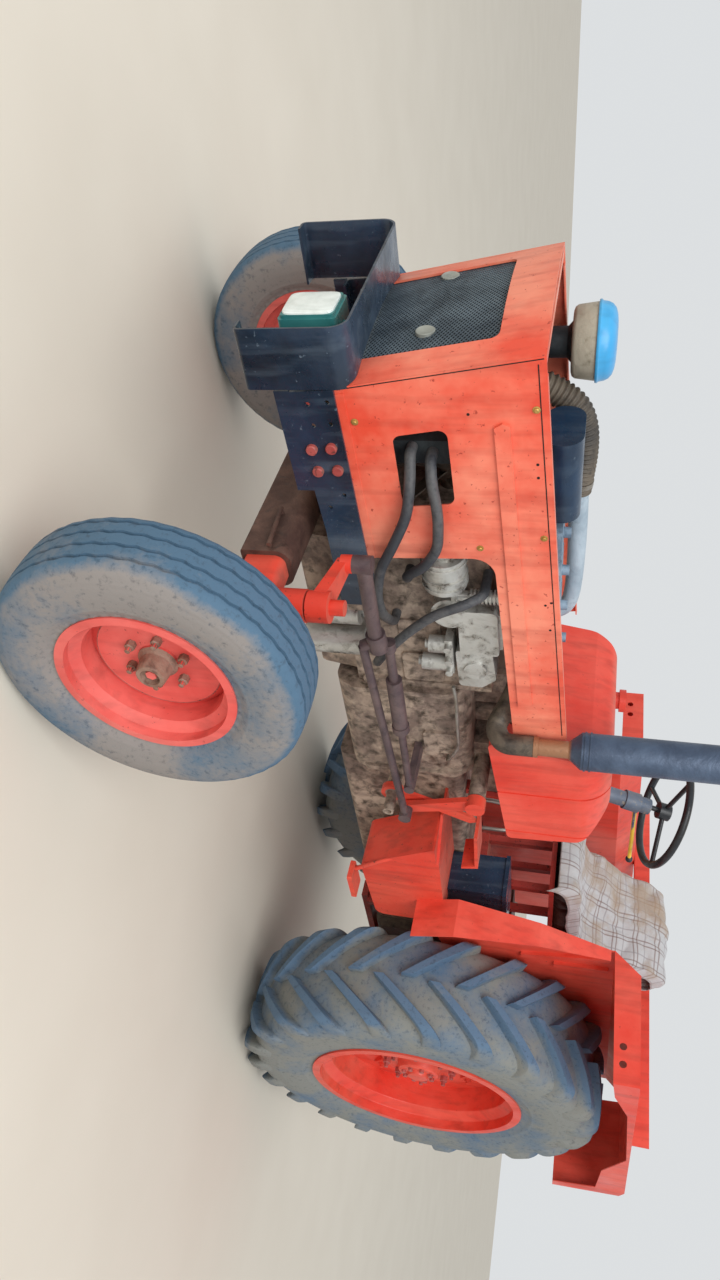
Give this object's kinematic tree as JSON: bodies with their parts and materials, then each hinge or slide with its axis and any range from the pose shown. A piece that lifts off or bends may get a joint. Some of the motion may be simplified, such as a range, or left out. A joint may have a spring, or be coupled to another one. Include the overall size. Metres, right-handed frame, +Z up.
{
  "type": "farm tractor",
  "caption": "Two-wheel-drive farm tractor with an open bonnet, angular fenders, upright exhaust, wide front axle, blanket-covered seat and a three-point hitch.",
  "frame": {"origin": "on the ground under the middle of the tractor's box", "axes": "+X forward, +Y to the driver's left, +Z up"},
  "size_m": [4.1464, 1.798, 2.15],
  "materials": {
    "orange_paint": "gloss enamel, faded and scuffed",
    "red_brown_paint": "enamel worn to primer and dust",
    "black_paint": "gloss enamel",
    "tyre_rubber": "dusty, worn",
    "grimy_iron": "cast, with oily dust",
    "bare_steel": "worn bright, dull",
    "bare_aluminium": "cast, dull",
    "hot_steel": "heat-faded coating, rust at the neck",
    "grey_mesh": "matte",
    "hose_rubber": "matte, dusty",
    "lamp_housing": "gloss enamel",
    "seat_vinyl": "matte coated cloth",
    "blanket": "woven wool, checked",
    "wheel_plastic": "smooth, worn"
  },
  "bodies": {
    "chassis": {"air_filter": "grimy_iron", "air_precleaner": "grey_mesh", "alternator": "bare_aluminium", "axle_arms": "orange_paint", "axle_beam": "red_brown_paint", "bonnet_sides": "orange_paint", "clutch_pedal": "red_brown_paint", "cross_board": "orange_paint", "cylinder_head": "grimy_iron", "drawbar": "red_brown_paint", "engine_block": "grimy_iron", "engine_fan": "grey_mesh", "engine_pipes": "bare_steel", "engine_side_units": "bare_aluminium", "exhaust_manifold": "grimy_iron", "exhaust_stack": "hot_steel", "fenders": "orange_paint", "footboards": "orange_paint", "front_guard": "black_paint", "front_support": "grimy_iron", "fuel_tank": "orange_paint", "gearbox": "grimy_iron", "grille": "grey_mesh", "hand_levers": "bare_steel", "headlamp": "lamp_housing", "hitch_brackets": "red_brown_paint", "hydraulic_hoses": "hose_rubber", "instrument_panel": "red_brown_paint", "intake_hose": "hose_rubber", "nose_cowl": "orange_paint", "pto_shaft": "bare_steel", "radiator": "grey_mesh", "ram_rod": "bare_steel", "rear_axle": "red_brown_paint", "seat_cover": "blanket", "seat_cushion": "seat_vinyl", "seat_frame": "red_brown_paint", "side_rails": "black_paint", "steering_column": "grey_mesh", "tool_box": "black_paint"},
    "wheel_rear_left": {"rear_tyre_left": "tyre_rubber", "rear_rim_left": "orange_paint"},
    "wheel_front_left": {"front_tyre_left": "tyre_rubber", "front_rim_left": "orange_paint"},
    "knuckle_left": {"knuckle_left": "orange_paint"},
    "drag_link_left": {"drag_link_left": "bare_steel"},
    "drop_arm_left": {"drop_arm_left": "orange_paint"},
    "lift_rod_left": {"lift_rod_left": "bare_steel"},
    "lower_link_left": {"lower_link_left": "bare_steel"},
    "wheel_rear_right": {"rear_tyre_right": "tyre_rubber", "rear_rim_right": "orange_paint"},
    "wheel_front_right": {"front_tyre_right": "tyre_rubber", "front_rim_right": "orange_paint"},
    "knuckle_right": {"knuckle_right": "orange_paint"},
    "drag_link_right": {"drag_link_right": "bare_steel"},
    "drop_arm_right": {"drop_arm_right": "orange_paint"},
    "lift_rod_right": {"lift_rod_right": "bare_steel"},
    "lower_link_right": {"lower_link_right": "bare_steel"},
    "steering_wheel": {"steering_wheel": "wheel_plastic"},
    "lift_arms": {"lift_arms": "red_brown_paint"}
  },
  "joints": [
    {"name": "rear_wheel_left", "type": "hinge", "parent": "chassis", "child": "wheel_rear_left", "pos_m": [-1.17176, 0.64, 0.785], "axis": [0, 1, 0], "continuous": true},
    {"name": "steer_left", "type": "hinge", "parent": "chassis", "child": "knuckle_left", "pos_m": [1.48524, 0.56, 0.379], "axis": [0, 0, 1], "range_deg": [-35, 35]},
    {"name": "front_wheel_left", "type": "hinge", "parent": "knuckle_left", "child": "wheel_front_left", "pos_m": [1.48524, 0.78, 0.379], "axis": [0, 1, 0], "continuous": true},
    {"name": "drag_link_slide_left", "type": "slide", "parent": "chassis", "child": "drag_link_left", "axis": [1, 0, 0], "range_m": [-0.08, 0.08]},
    {"name": "drop_arm_swing_left", "type": "hinge", "parent": "chassis", "child": "drop_arm_left", "pos_m": [0.35824, 0.325, 1.035], "axis": [0, 1, 0], "range_deg": [-20, 20]},
    {"name": "lower_link_swing_left", "type": "hinge", "parent": "chassis", "child": "lower_link_left", "pos_m": [-1.19176, 0.23, 0.41], "axis": [0, 1, 0], "range_deg": [-8, 38]},
    {"name": "lift_rod_swing_left", "type": "hinge", "parent": "lift_arms", "child": "lift_rod_left", "pos_m": [-1.67152, 0.305, 1.04604], "axis": [0, 1, 0], "range_deg": [-38, 8]},
    {"name": "rear_wheel_right", "type": "hinge", "parent": "chassis", "child": "wheel_rear_right", "pos_m": [-1.17176, -0.64, 0.785], "axis": [0, 1, 0], "continuous": true},
    {"name": "steer_right", "type": "hinge", "parent": "chassis", "child": "knuckle_right", "pos_m": [1.48524, -0.56, 0.379], "axis": [0, 0, 1], "range_deg": [-35, 35]},
    {"name": "front_wheel_right", "type": "hinge", "parent": "knuckle_right", "child": "wheel_front_right", "pos_m": [1.48524, -0.78, 0.379], "axis": [0, 1, 0], "continuous": true},
    {"name": "drag_link_slide_right", "type": "slide", "parent": "chassis", "child": "drag_link_right", "axis": [1, 0, 0], "range_m": [-0.08, 0.08]},
    {"name": "drop_arm_swing_right", "type": "hinge", "parent": "chassis", "child": "drop_arm_right", "pos_m": [0.35824, -0.325, 1.035], "axis": [0, 1, 0], "range_deg": [-20, 20]},
    {"name": "lower_link_swing_right", "type": "hinge", "parent": "chassis", "child": "lower_link_right", "pos_m": [-1.19176, -0.23, 0.41], "axis": [0, 1, 0], "range_deg": [-8, 38]},
    {"name": "lift_rod_swing_right", "type": "hinge", "parent": "lift_arms", "child": "lift_rod_right", "pos_m": [-1.67152, -0.305, 1.04604], "axis": [0, 1, 0], "range_deg": [-38, 8]},
    {"name": "hitch_lift", "type": "hinge", "parent": "chassis", "child": "lift_arms", "pos_m": [-1.27176, 0, 1.06], "axis": [0, 1, 0], "range_deg": [-8, 38]},
    {"name": "steering_wheel_turn", "type": "hinge", "parent": "chassis", "child": "steering_wheel", "pos_m": [-0.02976, 0, 1.673], "axis": [-0.3441, 0, 0.9389], "range_deg": [-500, 500]}
  ],
  "couplings": [
    {"joint": "drag_link_slide_left", "follows": "steer_left", "m_per_rad": 0.12},
    {"joint": "drop_arm_swing_left", "follows": "steer_left", "ratio": -0.4878},
    {"joint": "lower_link_swing_left", "follows": "hitch_lift", "ratio": 1},
    {"joint": "lift_rod_swing_left", "follows": "hitch_lift", "ratio": -1},
    {"joint": "drag_link_slide_right", "follows": "steer_left", "m_per_rad": -0.12},
    {"joint": "drop_arm_swing_right", "follows": "steer_left", "ratio": 0.4878},
    {"joint": "lower_link_swing_right", "follows": "hitch_lift", "ratio": 1},
    {"joint": "lift_rod_swing_right", "follows": "hitch_lift", "ratio": -1},
    {"joint": "steer_right", "follows": "steer_left", "ratio": 1},
    {"joint": "steering_wheel_turn", "follows": "steer_left", "ratio": 14}
  ]
}
